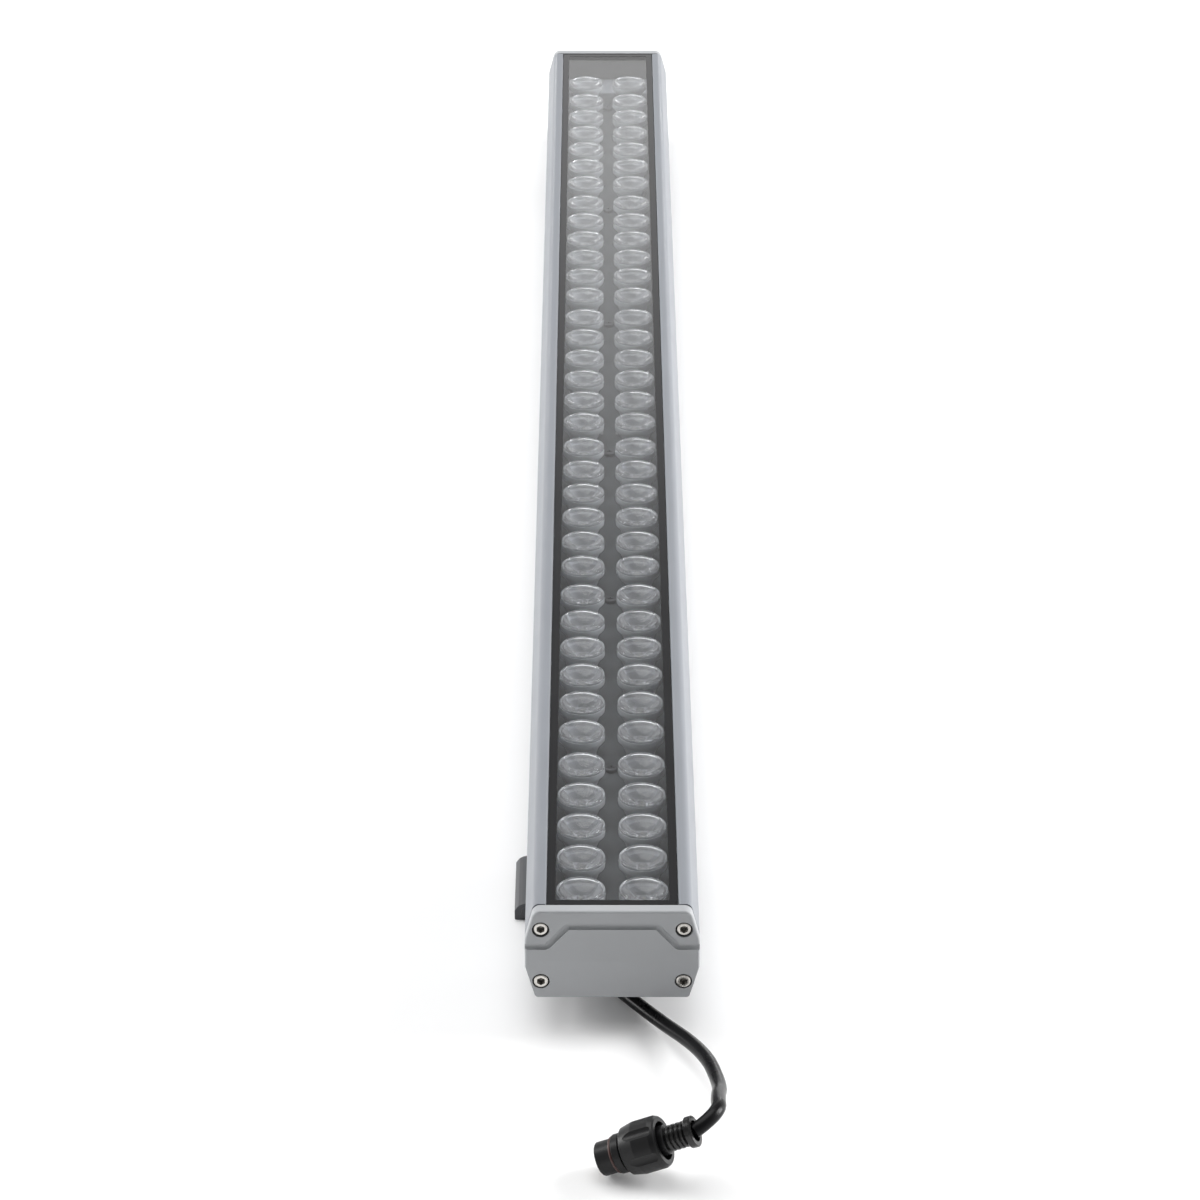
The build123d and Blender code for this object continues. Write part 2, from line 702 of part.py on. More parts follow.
def bracket_arm():
    """Arm with the round bead of the hinge, and cross slots for the clamp screws."""
    with BuildPart() as arm:
        with BuildSketch(across(BRACKET_LENGTH / 2)):
            with Locations((HINGE_X, HINGE_Z)):
                Circle(BEAD_RADIUS)
            with BuildLine():
                Polyline(
                    (-35.2, 5.36),
                    (-31.2, 5.92),
                    (-31.2, BOTTOM_Z),
                    (20.0, BOTTOM_Z),
                    (20.0, 11.0),
                    (-29.0, 11.0),
                    (-29.0, 4.22),
                    (-35.2, 3.345),
                    close=True,
                )
            make_face()
        extrude(amount=BRACKET_LENGTH)
        with BuildSketch(Plane.XY.offset(BOTTOM_Z)):
            with Locations((-7.0, -CLAMP_SPACING / 2), (-7.0, CLAMP_SPACING / 2)):
                SlotOverall(20.0, 5.3)
        extrude(amount=-3.0, mode=Mode.SUBTRACT)
    return arm.part


def t_nuts():
    """Two sliding nuts in the rail."""
    with BuildPart() as nuts:
        for y in (-CLAMP_SPACING / 2, CLAMP_SPACING / 2):
            with BuildSketch(across(y + 7.0)):
                with Locations((0.0, 16.4)):
                    Rectangle(11.8, 4.0, align=(Align.CENTER, Align.MIN))
                with Locations((0.0, 14.3)):
                    Rectangle(6.0, 2.1, align=(Align.CENTER, Align.MIN))
            extrude(amount=14.0)
        with BuildSketch(Plane.XY.offset(14.0)):
            with Locations((0.0, -CLAMP_SPACING / 2), (0.0, CLAMP_SPACING / 2)):
                Circle(2.5)
        extrude(amount=8.0, mode=Mode.SUBTRACT)
    return nuts.part


def clamp_screws():
    """Two low-head screws that pull the arm against the rail."""
    with BuildPart() as screws:
        for y in (-CLAMP_SPACING / 2, CLAMP_SPACING / 2):
            with BuildSketch(Plane.XY.offset(7.2)):
                with Locations((0.0, y)):
                    Circle(4.25)
            extrude(amount=2.8)
            with BuildSketch(Plane.XY.offset(10.0)):
                with Locations((0.0, y)):
                    Circle(2.46)
            extrude(amount=10.0)
        chamfer(screws.edges().filter_by(GeomType.CIRCLE).group_by(Axis.Z)[0], length=0.4)
        with BuildSketch(Plane.XY.offset(7.2)):
            with Locations((0.0, -CLAMP_SPACING / 2), (0.0, CLAMP_SPACING / 2)):
                RegularPolygon(1.5, 6, major_radius=False)
        extrude(amount=1.6, mode=Mode.SUBTRACT)
    return screws.part


def clamp_washers():
    """Two flat washers under the screw heads."""
    with BuildPart() as washers:
        with BuildSketch(Plane.XY.offset(10.0)):
            with Locations((0.0, -CLAMP_SPACING / 2), (0.0, CLAMP_SPACING / 2)):
                Circle(5.0)
                Circle(2.6, mode=Mode.SUBTRACT)
        extrude(amount=1.0)
    return washers.part


def placed(piece, x, y):
    """A piece moved sideways and along the batten."""
    with BuildPart() as moved:
        with Locations((x, y, 0.0)):
            add(piece)
    return moved.part


with BuildPart() as bracket_base_near:
    add(placed(bracket_base(), 0.0, NEAR_BRACKET_Y))

with BuildPart() as bracket_base_far:
    add(placed(bracket_base(), FAR_BRACKET_SHIFT, FAR_BRACKET_Y))

with BuildPart() as bracket_arm_near:
    add(placed(bracket_arm(), 0.0, NEAR_BRACKET_Y))

with BuildPart() as bracket_arm_far:
    add(placed(bracket_arm(), FAR_BRACKET_SHIFT, FAR_BRACKET_Y))

with BuildPart() as t_nuts_near:
    add(placed(t_nuts(), 0.0, NEAR_BRACKET_Y))

with BuildPart() as t_nuts_far:
    add(placed(t_nuts(), 0.0, FAR_BRACKET_Y))

with BuildPart() as clamp_screws_near:
    add(placed(clamp_screws(), 0.0, NEAR_BRACKET_Y))

with BuildPart() as clamp_screws_far:
    add(placed(clamp_screws(), 0.0, FAR_BRACKET_Y))

with BuildPart() as clamp_washers_near:
    add(placed(clamp_washers(), 0.0, NEAR_BRACKET_Y))

with BuildPart() as clamp_washers_far:
    add(placed(clamp_washers(), 0.0, FAR_BRACKET_Y))


def route_radii(points):
    """Bend radius at each inner corner of the cable's route."""
    radii = []
    for before, corner, after in zip(points, points[1:], points[2:]):
        first = Vector(*corner) - Vector(*before)
        second = Vector(*after) - Vector(*corner)
        turn = math.radians(first.get_angle(second))
        radii.append(0.45 * min(first.length, second.length) / math.tan(turn / 2))
    return radii


CABLE_RADII = route_radii(CABLE_ROUTE)
print("cable bend radii:", [round(radius, 1) for radius in CABLE_RADII])

with BuildPart() as power_cable:
    with BuildLine() as cable_line:
        FilletPolyline(*CABLE_ROUTE, radius=CABLE_RADII)
    with BuildSketch(Plane(origin=CABLE_ROUTE[0], z_dir=(0, -1, 0))):
        Circle(CABLE_DIAMETER / 2)
    sweep()

cable_length = sum(edge.length for edge in cable_line.edges())
print("cable length:", round(cable_length, 1))
print("cable volume over section times length:",
      round(power_cable.part.volume / (math.pi * CABLE_DIAMETER ** 2 / 4 * cable_length), 4))

# The connector is drawn as radius and distance from the boot's end face
CONNECTOR_AXIS = Axis(CONNECTOR_FACE, CONNECTOR_DIRECTION)
CONNECTOR_RADIAL = Vector(*CONNECTOR_DIRECTION).cross(Vector(0, 0, 1)).normalized()
CONNECTOR_SECTION = Plane(
    origin=CONNECTOR_FACE,
    x_dir=CONNECTOR_RADIAL,
    z_dir=CONNECTOR_RADIAL.cross(Vector(*CONNECTOR_DIRECTION)),
)
CONNECTOR_FRONT = Plane(origin=CONNECTOR_FACE, x_dir=CONNECTOR_RADIAL, z_dir=CONNECTOR_DIRECTION)

BOOT_RIBS = 4
RIB_START = 3.7
RIB_PITCH = 2.0
BOOT_END = 11.8
BOOT_PROFILE = [
    (0.0, 2.4),
    (4.3, 2.4),
    (4.3, 0.0),
    (6.0, 0.0),
    (6.35, 0.35),
    (6.35, 2.5),
    (6.0, 2.9),
    (4.4, 2.9),
    (4.4, RIB_START),
]
for rib in range(BOOT_RIBS):
    rib_start = RIB_START + rib * RIB_PITCH
    BOOT_PROFILE += [(5.0, rib_start), (5.25, rib_start + 0.3), (5.25, rib_start + 1.1)]
    BOOT_PROFILE += [(5.0, rib_start + 1.4), (4.4, rib_start + 1.4), (4.4, rib_start + RIB_PITCH)]
BOOT_PROFILE += [(4.4, BOOT_END), (0.0, BOOT_END)]

with BuildPart() as connector_boot:
    with BuildSketch(CONNECTOR_SECTION):
        with BuildLine():
            Polyline(*BOOT_PROFILE, close=True)
        make_face()
    revolve(axis=CONNECTOR_AXIS)

BODY_PROFILE = [
    (0.0, BOOT_END),
    (5.6, BOOT_END),
    (6.0, 12.2),
    (6.0, 16.8),
    (6.6, 17.4),
    (6.6, 30.4),
    (7.8, 30.4),
    (8.0, 30.6),
    (8.0, 33.3),
    (7.6, 33.7),
    (6.2, 33.7),
    (6.2, 35.0),
    (6.9, 35.0),
    (6.9, 40.8),
    (6.5, 41.25),
    (5.6, 41.25),
    (5.6, 35.5),
    (0.0, 35.5),
]
with BuildPart() as connector_body:
    with BuildSketch(CONNECTOR_SECTION):
        with BuildLine():
            Polyline(*BODY_PROFILE, close=True)
        make_face()
    revolve(axis=CONNECTOR_AXIS)

NUT_PROFILE = [
    (7.8, 13.8),
    (9.6, 13.8),
    (10.1, 14.3),
    (10.8, 16.1),
    (10.8, 23.6),
    (9.6, 29.0),
    (9.0, 29.55),
    (7.7, 29.55),
    (7.7, 22.7),
    (6.66, 21.7),
    (6.66, 18.8),
    (7.8, 17.4),
]
NUT_LOBES = 6
with BuildPart() as coupling_nut:
    with BuildSketch(CONNECTOR_SECTION):
        with BuildLine():
            Polyline(*NUT_PROFILE, close=True)
        make_face()
    revolve(axis=CONNECTOR_AXIS)
    with BuildSketch(CONNECTOR_FRONT.offset(15.0)):
        with PolarLocations(13.9, NUT_LOBES):
            Circle(3.9)
    extrude(amount=15.8, mode=Mode.SUBTRACT)

with BuildPart() as o_ring:
    with BuildSketch(CONNECTOR_SECTION):
        with Locations((6.85, 34.35)):
            Circle(0.64)
    revolve(axis=CONNECTOR_AXIS)

with BuildPart() as contact_insert:
    with BuildSketch(CONNECTOR_FRONT.offset(35.5)):
        Circle(5.55)
        with PolarLocations(2.6, 3):
            Circle(0.8, mode=Mode.SUBTRACT)
    extrude(amount=2.5)

with BuildPart() as contact_pins:
    with BuildSketch(CONNECTOR_FRONT.offset(35.5)):
        with PolarLocations(2.6, 3):
            Circle(0.78)
    extrude(amount=5.3)

PARTS = {
    "housing_extrusion": housing_extrusion,
    "end_cap_near": end_cap_near,
    "end_cap_far": end_cap_far,
    "end_gasket_near": end_gasket_near,
    "end_gasket_far": end_gasket_far,
    "cap_screws_near": cap_screws_near,
    "cap_screws_far": cap_screws_far,
    "glass_cover": glass_cover,
    "glass_print": glass_print,
    "glass_seal": glass_seal,
    "led_board_near": led_board_near,
    "led_board_far": led_board_far,
    "led_packages_near": led_packages_near,
    "led_packages_far": led_packages_far,
    "lenses_near": lenses_near,
    "lenses_far": lenses_far,
    "lens_holders_near": lens_holders_near,
    "lens_holders_far": lens_holders_far,
    "board_screws_near": board_screws_near,
    "board_screws_far": board_screws_far,
    "board_links": board_links,
    "driver_case": driver_case,
    "driver_lid": driver_lid,
    "driver_board": driver_board,
    "driver_standoffs": driver_standoffs,
    "driver_components": driver_components,
    "gland_body": gland_body,
    "gland_nut": gland_nut,
    "gland_seal": gland_seal,
    "mains_leads": mains_leads,
    "output_leads": output_leads,
    "solder_joints": solder_joints,
    "web_grommet": web_grommet,
    "lead_saddles": lead_saddles,
    "bracket_base_near": bracket_base_near,
    "bracket_base_far": bracket_base_far,
    "bracket_arm_near": bracket_arm_near,
    "bracket_arm_far": bracket_arm_far,
    "t_nuts_near": t_nuts_near,
    "t_nuts_far": t_nuts_far,
    "clamp_screws_near": clamp_screws_near,
    "clamp_screws_far": clamp_screws_far,
    "clamp_washers_near": clamp_washers_near,
    "clamp_washers_far": clamp_washers_far,
    "power_cable": power_cable,
    "connector_boot": connector_boot,
    "connector_body": connector_body,
    "coupling_nut": coupling_nut,
    "o_ring": o_ring,
    "contact_insert": contact_insert,
    "contact_pins": contact_pins,
}
for name, builder in PARTS.items():
    builder.part.label = name
    export_step(builder.part, f"parts/{name}.step")
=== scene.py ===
import json
import math

import bpy
from mathutils import Matrix, Vector


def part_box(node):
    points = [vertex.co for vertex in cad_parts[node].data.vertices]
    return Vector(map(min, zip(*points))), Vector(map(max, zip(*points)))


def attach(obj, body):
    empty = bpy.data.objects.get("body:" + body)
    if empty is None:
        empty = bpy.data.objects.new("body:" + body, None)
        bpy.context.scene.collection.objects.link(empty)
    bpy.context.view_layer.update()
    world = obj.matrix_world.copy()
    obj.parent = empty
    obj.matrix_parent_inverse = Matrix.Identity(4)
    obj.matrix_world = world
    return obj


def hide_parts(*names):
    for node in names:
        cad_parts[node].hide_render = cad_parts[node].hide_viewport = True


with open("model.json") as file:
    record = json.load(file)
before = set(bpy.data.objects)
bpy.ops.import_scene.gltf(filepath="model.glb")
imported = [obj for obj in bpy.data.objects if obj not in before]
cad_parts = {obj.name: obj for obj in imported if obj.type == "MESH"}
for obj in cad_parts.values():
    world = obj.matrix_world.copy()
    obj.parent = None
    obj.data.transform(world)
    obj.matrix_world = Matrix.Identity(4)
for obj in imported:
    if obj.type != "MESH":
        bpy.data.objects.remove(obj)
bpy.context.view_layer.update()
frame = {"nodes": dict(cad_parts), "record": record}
nodes = frame["nodes"]

# ---------------------------------------------------------------- camera
CAMERA_PLACE = Vector((-0.00627, -1.9935, 0.9854))
CAMERA_TILT = math.radians(27.74)
CAMERA_YAW = math.radians(0.043)
CAMERA_ROLL = math.radians(0.042)
CAMERA_SENSOR = 36.0
CAMERA_LENS = 128.77
CAMERA_REACH = 50.0


def add_camera():
    """Camera at CAMERA_PLACE, looking along the batten from its cable end and down on it."""
    forward = Vector((
        math.sin(CAMERA_YAW) * math.cos(CAMERA_TILT),
        math.cos(CAMERA_YAW) * math.cos(CAMERA_TILT),
        -math.sin(CAMERA_TILT),
    ))
    level = Vector((math.cos(CAMERA_YAW), -math.sin(CAMERA_YAW), 0.0))
    upright = level.cross(forward)
    side = level * math.cos(CAMERA_ROLL) + upright * math.sin(CAMERA_ROLL)
    top = upright * math.cos(CAMERA_ROLL) - level * math.sin(CAMERA_ROLL)
    lens = bpy.data.cameras.new("camera")
    lens.sensor_width = CAMERA_SENSOR
    lens.lens = CAMERA_LENS
    lens.clip_end = CAMERA_REACH
    camera = bpy.data.objects.new("camera", lens)
    bpy.context.collection.objects.link(camera)
    camera.matrix_world = Matrix((
        (side.x, top.x, -forward.x, CAMERA_PLACE.x),
        (side.y, top.y, -forward.y, CAMERA_PLACE.y),
        (side.z, top.z, -forward.z, CAMERA_PLACE.z),
        (0.0, 0.0, 0.0, 1.0),
    ))
    bpy.context.scene.camera = camera


add_camera()

# ---------------------------------------------------------------- materials
CLOUD_SCALE = 28.0
SCUFF_SCALE = 160.0
SCUFF_START = 0.66
SCUFF_FULL = 0.74
RELIEF_DEPTH = 0.0002
# Painted shade in corners, grooves and sockets: full where ambient occlusion falls to DEEP_CORNER, none from
# OPEN_CORNER
OPEN_CORNER = 0.85
DEEP_CORNER = 0.25
# Colour of the painted shade in corners, grooves and sockets
PAINTED_SHADE_COLOR = (0.02, 0.018, 0.016)


def add_node(tree, kind, **values):
    """New node with plain values on its inputs; an input's name has _ for each space."""
    node = tree.nodes.new(kind)
    for name, value in values.items():
        node.inputs[name.replace("_", " ")].default_value = value
    return node


def color_mix(tree, share, first, second):
    """Mix of two colours, each a socket or three numbers, by the value of a socket."""
    mix = tree.nodes.new("ShaderNodeMix")
    mix.data_type = "RGBA"
    tree.links.new(share, mix.inputs["Factor"])
    for name, color in (("A", first), ("B", second)):
        if isinstance(color, bpy.types.NodeSocket):
            tree.links.new(color, mix.inputs[name])
        else:
            mix.inputs[name].default_value = (*color, 1.0)
    return mix.outputs["Result"]


def scuffed(tree, place, color, wear, wear_color):
    """Small scuffs of wear_color, up to the share wear, over a colour."""
    scuff = add_node(tree, "ShaderNodeTexNoise", Scale=SCUFF_SCALE, Detail=8.0, Roughness=0.7)
    tree.links.new(place, scuff.inputs["Vector"])
    limit = add_node(tree, "ShaderNodeMapRange", From_Min=SCUFF_START, From_Max=SCUFF_FULL, To_Max=wear)
    tree.links.new(scuff.outputs["Fac"], limit.inputs["Value"])
    return color_mix(tree, limit.outputs["Result"], color, wear_color)


def painted_corner_shade(tree, color, painted_shade, reach):
    """Painted shade: the colour darkened in the corners, grooves and sockets of a surface, where ambient
    occlusion finds them, up to a given share.
    """
    corner = add_node(tree, "ShaderNodeAmbientOcclusion", Distance=reach)
    corner.samples = 8
    depth = add_node(
        tree, "ShaderNodeMapRange", From_Min=DEEP_CORNER, From_Max=OPEN_CORNER, To_Min=painted_shade, To_Max=0.0
    )
    tree.links.new(corner.outputs["AO"], depth.inputs["Value"])
    return color_mix(tree, depth.outputs["Result"], color, PAINTED_SHADE_COLOR)


def surface(name, color, roughness, metallic=0.0, grain=1500.0, bump=0.1, spread=0.08, tint=0.06,
            stretch=(1.0, 1.0, 1.0), transmission=0.0, ior=1.5, specular=0.5, wear=0.0,
            wear_color=(0.6, 0.6, 0.6), cells=False, painted_shade=0.0, painted_shade_reach=0.002):
    """A finish with fine grain, cloudy colour and uneven gloss, in real-world scale."""
    material = bpy.data.materials.new(name)
    material.use_nodes = True
    tree = material.node_tree
    shader = tree.nodes["Principled BSDF"]
    link = tree.links.new
    place = tree.nodes.new("ShaderNodeTexCoord").outputs["Object"]
    mapping = add_node(tree, "ShaderNodeMapping", Scale=stretch)
    link(place, mapping.inputs["Vector"])

    fine = add_node(tree, "ShaderNodeTexVoronoi" if cells else "ShaderNodeTexNoise", Scale=grain)
    link(mapping.outputs["Vector"], fine.inputs["Vector"])
    cloud = add_node(tree, "ShaderNodeTexNoise", Scale=CLOUD_SCALE, Detail=6.0)
    link(mapping.outputs["Vector"], cloud.inputs["Vector"])

    dark = [part * (1.0 - tint) for part in color]
    light = [min(1.0, part * (1.0 + tint)) for part in color]
    shown = color_mix(tree, cloud.outputs["Fac"], dark, light)
    if wear > 0.0:
        shown = scuffed(tree, place, shown, wear, wear_color)
    # Optional painted shade in corners, grooves and sockets
    if painted_shade > 0.0:
        shown = painted_corner_shade(tree, shown, painted_shade, painted_shade_reach)
    link(shown, shader.inputs["Base Color"])

    gloss = add_node(
        tree, "ShaderNodeMapRange", To_Min=max(0.0, roughness - spread), To_Max=min(1.0, roughness + spread)
    )
    link(cloud.outputs["Fac"], gloss.inputs["Value"])
    link(gloss.outputs["Result"], shader.inputs["Roughness"])

    relief = add_node(tree, "ShaderNodeBump", Strength=bump, Distance=RELIEF_DEPTH)
    link(fine.outputs["Distance" if cells else "Fac"], relief.inputs["Height"])
    link(relief.outputs["Normal"], shader.inputs["Normal"])

    shader.inputs["Metallic"].default_value = metallic
    shader.inputs["IOR"].default_value = ior
    shader.inputs["Specular IOR Level"].default_value = specular
    shader.inputs["Transmission Weight"].default_value = transmission
    return material


# One recipe for each finish, by the record's slot names; blackened_screw is for the board screws
RECIPES = {
    "painted_housing": dict(
        color=(0.206, 0.218, 0.240), roughness=0.40, grain=2600.0, bump=0.12,
        wear=0.12, wear_color=(0.22, 0.23, 0.25),
    ),
    # The cap's groove and corners get painted shade
    "painted_cap": dict(
        color=(0.345, 0.355, 0.368), roughness=0.42, grain=1500.0, bump=0.2,
        wear=0.14, wear_color=(0.21, 0.21, 0.22), painted_shade=0.5, painted_shade_reach=0.0016,
    ),
    "black_rubber": dict(color=(0.02, 0.02, 0.02), roughness=0.7, grain=3000.0, bump=0.2),
    # The screw sockets and head edges get painted shade, nearly full in the sockets
    "stainless_screw": dict(
        color=(0.58, 0.56, 0.53), roughness=0.26, metallic=1.0, grain=1800.0, bump=0.12,
        stretch=(1.0, 0.1, 1.0), wear=0.3, wear_color=(0.3, 0.28, 0.25), painted_shade=0.97, painted_shade_reach=0.0022,
    ),
    "blackened_screw": dict(
        color=(0.06, 0.06, 0.065), roughness=0.35, metallic=0.8, grain=1800.0, bump=0.12
    ),
    "cover_glass": dict(
        color=(0.975, 0.98, 0.985), roughness=0.015, grain=90.0, bump=0.004, spread=0.012,
        tint=0.01, transmission=1.0, ior=1.5,
    ),
    "black_border": dict(color=(0.008, 0.008, 0.009), roughness=0.10, grain=2500.0, bump=0.05),
    "lamp_board": dict(color=(0.027, 0.031, 0.035), roughness=0.45, grain=1100.0, bump=0.2, tint=0.15),
    "led_package": dict(color=(0.50, 0.47, 0.34), roughness=0.35, grain=2500.0, bump=0.08),
    "lens_acrylic": dict(
        color=(0.63, 0.64, 0.66), roughness=0.03, grain=1250.0, bump=0.16, tint=0.02,
        spread=0.02, transmission=0.95, ior=1.49, cells=True,
    ),
    "lens_holder": dict(
        color=(0.42, 0.44, 0.46), roughness=0.3, grain=1500.0, bump=0.1, transmission=0.3, ior=1.45
    ),
    "solder": dict(color=(0.68, 0.68, 0.68), roughness=0.25, metallic=1.0, grain=2000.0, bump=0.2),
    "driver_plastic": dict(color=(0.02, 0.02, 0.022), roughness=0.5, grain=2200.0, bump=0.25),
    "driver_board": dict(color=(0.02, 0.12, 0.04), roughness=0.4, grain=1500.0, bump=0.1),
    "component": dict(color=(0.03, 0.03, 0.04), roughness=0.35, grain=1500.0, bump=0.1),
    "standoff": dict(color=(0.62, 0.62, 0.58), roughness=0.5, grain=1500.0, bump=0.1),
    "gland_plastic": dict(color=(0.018, 0.018, 0.018), roughness=0.45, grain=2200.0, bump=0.2),
    "lead_jacket": dict(color=(0.22, 0.02, 0.015), roughness=0.4, grain=2200.0, bump=0.1),
    "bracket_metal": dict(
        color=(0.068, 0.070, 0.075), roughness=0.42, metallic=0.3, grain=900.0, bump=0.12,
        stretch=(1.0, 0.05, 1.0), wear=0.3, wear_color=(0.25, 0.25, 0.25),
    ),
    "cable_jacket": dict(
        color=(0.005, 0.005, 0.0055), roughness=0.26, grain=1600.0, bump=0.1,
        specular=0.14, wear=0.2, wear_color=(0.02, 0.02, 0.02),
    ),
    "connector_plastic": dict(
        color=(0.007, 0.007, 0.0075), roughness=0.34, grain=1800.0, bump=0.2,
        specular=0.28, wear=0.2, wear_color=(0.03, 0.03, 0.03),
    ),
    "boot_rubber": dict(
        color=(0.006, 0.006, 0.006), roughness=0.22, grain=1500.0, bump=0.06, specular=0.45
    ),
    "o_ring": dict(color=(0.045, 0.014, 0.010), roughness=0.4, grain=2000.0, bump=0.1),
    "contact": dict(color=(0.75, 0.58, 0.26), roughness=0.22, metallic=1.0, grain=2000.0, bump=0.1),
}
FINISHES = {name: surface(name, **recipe) for name, recipe in RECIPES.items()}

slot_of = {entry["node"]: entry["material_slot"] for entry in frame["record"]["subparts"]}
for name, obj in nodes.items():
    obj.data.materials.clear()
    obj.data.materials.append(FINISHES[slot_of[name]])
for name in ("board_screws_near", "board_screws_far"):
    nodes[name].data.materials[0] = FINISHES["blackened_screw"]

# The lamps reach the lenses through the glass
nodes["glass_cover"].visible_shadow = False

# ---------------------------------------------------------------- lenses and their holders
MILLIMETRE = 0.001
LENS_GROUPS = (5, 6, 6, 1)
LENS_PITCH = 26.0 * MILLIMETRE
GROUP_PITCH = 29.3 * MILLIMETRE
LENS_MARGIN = 13.0 * MILLIMETRE

# Shape of one lens and its cup, in millimetres; profiles are radius and height above the lamp board
RIM_RADIUS = 10.2
BOWL_RADIUS = 8.4
BOWL_BOTTOM = 9.3
BOWL_RISE = 2.7
BOWL_RINGS = 12
BEAD_HEIGHT = 0.05
AROUND = 48
SHARP_ANGLE = math.radians(40)
LENS_RIM = [
    (8.6, 12.08),
    (8.85, 11.95),
    (9.0, 11.75),
    (9.3, 11.75),
    (9.45, 11.95),
    (9.65, 12.1),
    (9.95, 12.05),
    (10.15, 11.85),
    (RIM_RADIUS, 11.6),
    (RIM_RADIUS, 10.95),
    (9.25, 10.9),
]
LENS_FLANK = [
    (8.6, 9.2),
    (7.8, 7.4),
    (7.0, 5.7),
    (5.9, 3.8),
    (4.3, 1.6),
    (2.3, 1.6),
    (2.3, 5.0),
    (1.7, 6.1),
    (0.6, 6.6),
]
HOLDER_CUP = [
    (RIM_RADIUS, 10.85),
    (RIM_RADIUS, 8.0),
    (9.95, 7.7),
    (8.9, 7.5),
    (6.4, 1.4),
    (6.4, 0.2),
    (6.2, 0.0),
    (3.3, 0.0),
    (3.3, 1.0),
    (5.4, 1.5),
    (8.1, 7.9),
    (9.35, 8.4),
    (9.35, 10.85),
]


def smooth_profile(points):
    """The same radii and heights, with no beads."""
    return [(radius, height, 0.0) for radius, height in points]


def lens_profile():
    """Radius, height and bead size at each ring of one lens, from its middle to the LED pocket."""
    bowl = []
    for ring in range(1, BOWL_RINGS + 1):
        share = ring / BOWL_RINGS
        bead = BEAD_HEIGHT if ring < BOWL_RINGS else 0.0
        bowl.append((BOWL_RADIUS * share, BOWL_BOTTOM + BOWL_RISE * share ** 2, bead))
    return bowl + smooth_profile(LENS_RIM + LENS_FLANK)


def lens_centres(board, pieces):
    """Middle of each lens on one board, at the height where its holder stands."""
    low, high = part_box(pieces)
    row = high[0] - RIM_RADIUS * MILLIMETRE
    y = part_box(board)[0][1] + LENS_MARGIN
    centres = []
    for group in LENS_GROUPS:
        for _ in range(group):
            centres += [(-row, y, low[2]), (row, y, low[2])]
            y += LENS_PITCH
        y += GROUP_PITCH - LENS_PITCH
    return centres


def turned(name, profile, centres, closed):
    """Copies of one turned shape. A closed profile joins up, and an open one has a flat face at each end."""
    corners = []
    faces = []
    rings = len(profile)
    for cx, cy, cz in centres:
        first = len(corners)
        for ring, (radius, height, bead) in enumerate(profile):
            for step in range(AROUND):
                angle = 2 * math.pi * step / AROUND
                lift = height + (bead if (ring + step) % 2 else -bead)
                corners.append((
                    cx + radius * math.cos(angle) * MILLIMETRE,
                    cy + radius * math.sin(angle) * MILLIMETRE,
                    cz + lift * MILLIMETRE,
                ))
        for ring in range(rings if closed else rings - 1):
            following = (ring + 1) % rings
            for step in range(AROUND):
                turn = (step + 1) % AROUND
                faces.append((
                    first + ring * AROUND + step,
                    first + following * AROUND + step,
                    first + following * AROUND + turn,
                    first + ring * AROUND + turn,
                ))
        if not closed:
            faces.append(tuple(first + step for step in range(AROUND)))
            faces.append(tuple(first + rings * AROUND - 1 - step for step in range(AROUND)))
    mesh = bpy.data.meshes.new(name)
    mesh.from_pydata(corners, [], faces)
    mesh.shade_smooth()
    mesh.set_sharp_from_angle(angle=SHARP_ANGLE)
    piece = bpy.data.objects.new(name, mesh)
    bpy.context.collection.objects.link(piece)
    return piece


for end in ("near", "far"):
    centres = lens_centres("led_board_" + end, "lens_holders_" + end)
    lens_set = turned("clear_lenses_" + end, lens_profile(), centres, closed=False)
    cup_set = turned("lens_cups_" + end, smooth_profile(HOLDER_CUP), centres, closed=True)
    for piece, node in ((lens_set, "lenses_" + end), (cup_set, "lens_holders_" + end)):
        piece.data.materials.append(FINISHES[slot_of[node]])
        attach(piece, "batten")
        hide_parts(node)
    lens_set.visible_shadow = False

# ---------------------------------------------------------------- cable
CABLE_DIAMETER = 0.006
CABLE_ROUTE = [
    (-0.0190, -0.4000, 0.0260),
    (-0.0190, -0.4270, 0.0260),
    (-0.0120, -0.4537, 0.0030),
    (0.0160, -0.4959, 0.0030),
    (0.0374, -0.5356, 0.0118),
    (0.0432, -0.5667, 0.0156),
    (0.0414, -0.5857, 0.0238),
    (0.0416, -0.6045, 0.0290),
    (0.0316, -0.6096, 0.0237),
]
cable_curve = bpy.data.curves.new("lead", "CURVE")
cable_curve.dimensions = "3D"
cable_line = cable_curve.splines.new("NURBS")
cable_line.points.add(len(CABLE_ROUTE) - 1)
for point, place in zip(cable_line.points, CABLE_ROUTE):
    point.co = (*place, 1.0)
cable_line.order_u = 3
cable_line.use_endpoint_u = True
cable_line.resolution_u = 24
cable_curve.bevel_depth = CABLE_DIAMETER / 2
cable_curve.bevel_resolution = 8
cable_curve.use_fill_caps = True
cable_curve.materials.append(FINISHES["cable_jacket"])
cable = bpy.data.objects.new("lead", cable_curve)
bpy.context.collection.objects.link(cable)
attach(cable, "batten")
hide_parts("power_cable")

# ---------------------------------------------------------------- studio
FLOOR_HALF = 6.0
TARGET = Vector((0.0, 0.0, 0.0))

# Name, place, size and power of each soft light
LIGHTS = [
    ("top_light", (-0.3, 0.3, 2.2), (1.6, 2.4), 32.0),
    ("right_light", (2.2, 0.1, 0.7), (0.9, 2.2), 86.0),
    ("back_right_light", (0.85, 3.2, 0.55), (0.35, 0.5), 4.0),
    ("back_left_light", (-0.85, 3.2, 0.55), (0.35, 0.5), 4.0),
    ("left_light", (-2.2, 0.1, 0.7), (0.9, 2.2), 52.0),
]


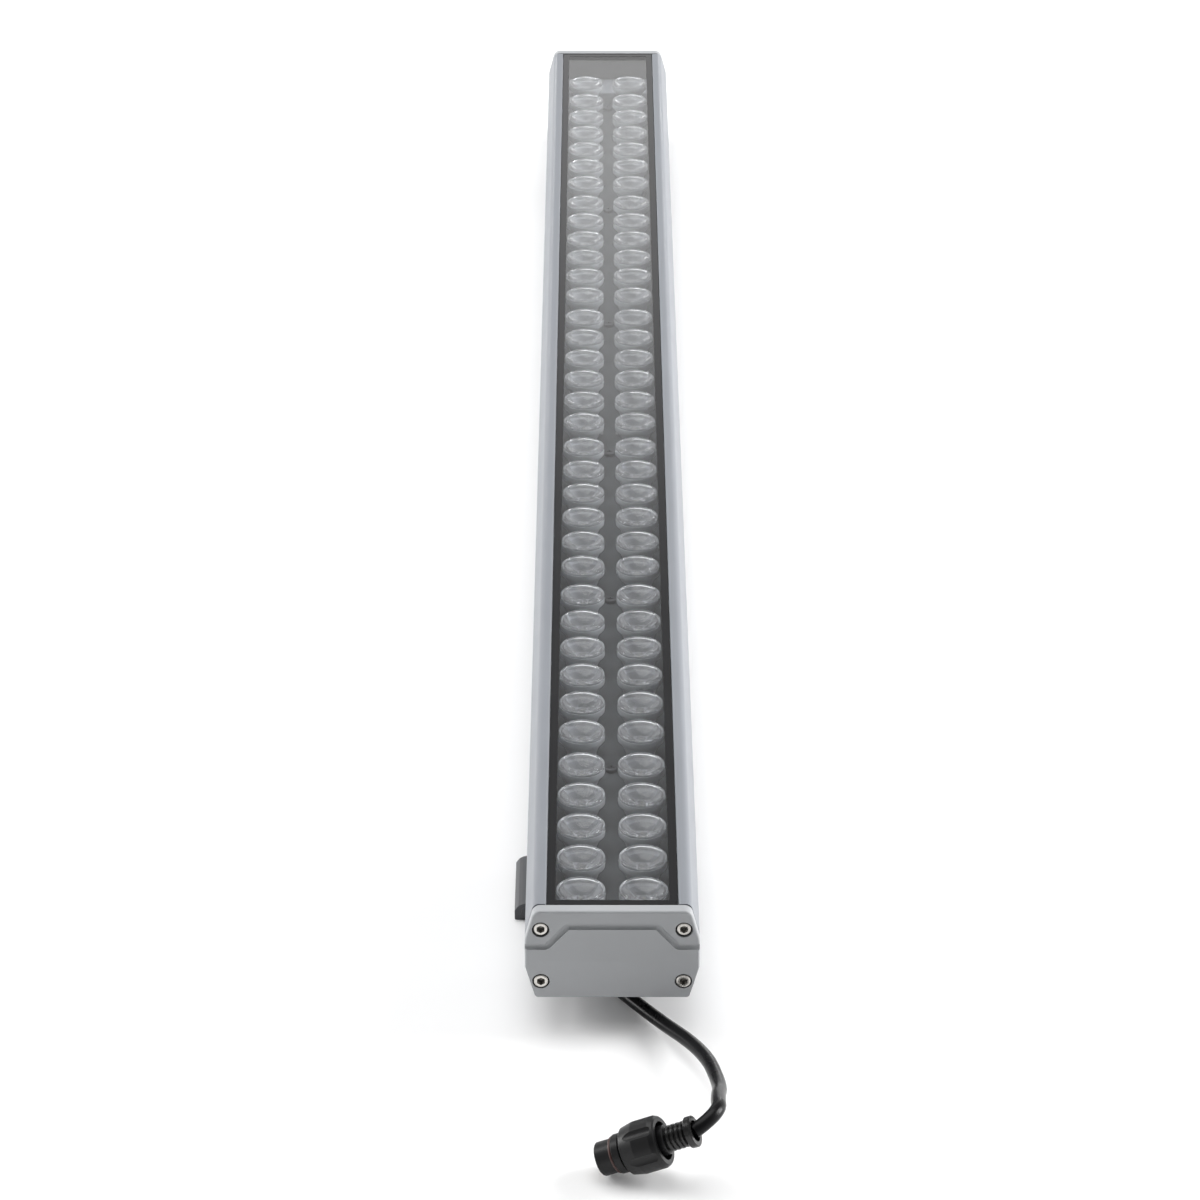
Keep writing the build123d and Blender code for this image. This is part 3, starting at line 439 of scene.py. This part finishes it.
def add_floor():
    """Large plain pale floor, which isn't part of the object."""
    corners = [(x * FLOOR_HALF, y * FLOOR_HALF, 0.0) for x, y in ((-1, -1), (1, -1), (1, 1), (-1, 1))]
    mesh = bpy.data.meshes.new("floor")
    mesh.from_pydata(corners, [], [(0, 1, 2, 3)])
    mesh.materials.append(
        surface("floor_paper", (0.92, 0.92, 0.92), 0.8, grain=400.0, bump=0.02, tint=0.004)
    )
    floor = bpy.data.objects.new("floor", mesh)
    bpy.context.collection.objects.link(floor)


def add_sky():
    """White surroundings that are bright near the horizon and behind, and dim overhead and in front."""
    world = bpy.data.worlds.new("studio")
    world.use_nodes = True
    bpy.context.scene.world = world
    sky = world.node_tree
    link = sky.links.new
    direction = sky.nodes.new("ShaderNodeTexCoord")
    axes = sky.nodes.new("ShaderNodeSeparateXYZ")
    link(direction.outputs["Generated"], axes.inputs["Vector"])
    height = add_node(
        sky, "ShaderNodeMapRange", From_Min=0.37, From_Max=0.46, To_Min=1.0, To_Max=0.34
    )
    link(axes.outputs["Z"], height.inputs["Value"])
    behind = add_node(
        sky, "ShaderNodeMapRange", From_Min=-0.8, From_Max=0.0, To_Min=0.5, To_Max=1.0
    )
    link(axes.outputs["Y"], behind.inputs["Value"])
    together = sky.nodes.new("ShaderNodeMath")
    together.operation = "MULTIPLY"
    link(height.outputs["Result"], together.inputs[0])
    link(behind.outputs["Result"], together.inputs[1])
    background = sky.nodes["Background"]
    background.inputs["Color"].default_value = (1.0, 1.0, 1.0, 1.0)
    link(together.outputs["Value"], background.inputs["Strength"])


def softbox(name, place, size, power):
    """Rectangular area light that faces the object."""
    light = bpy.data.lights.new(name, "AREA")
    light.shape = "RECTANGLE"
    light.size, light.size_y = size
    light.energy = power
    box = bpy.data.objects.new(name, light)
    box.location = place
    box.rotation_euler = (TARGET - Vector(place)).to_track_quat("-Z", "Y").to_euler()
    bpy.context.collection.objects.link(box)


add_floor()
add_sky()
for name, place, size, power in LIGHTS:
    softbox(name, place, size, power)
bpy.context.scene.view_settings.view_transform = "Standard"
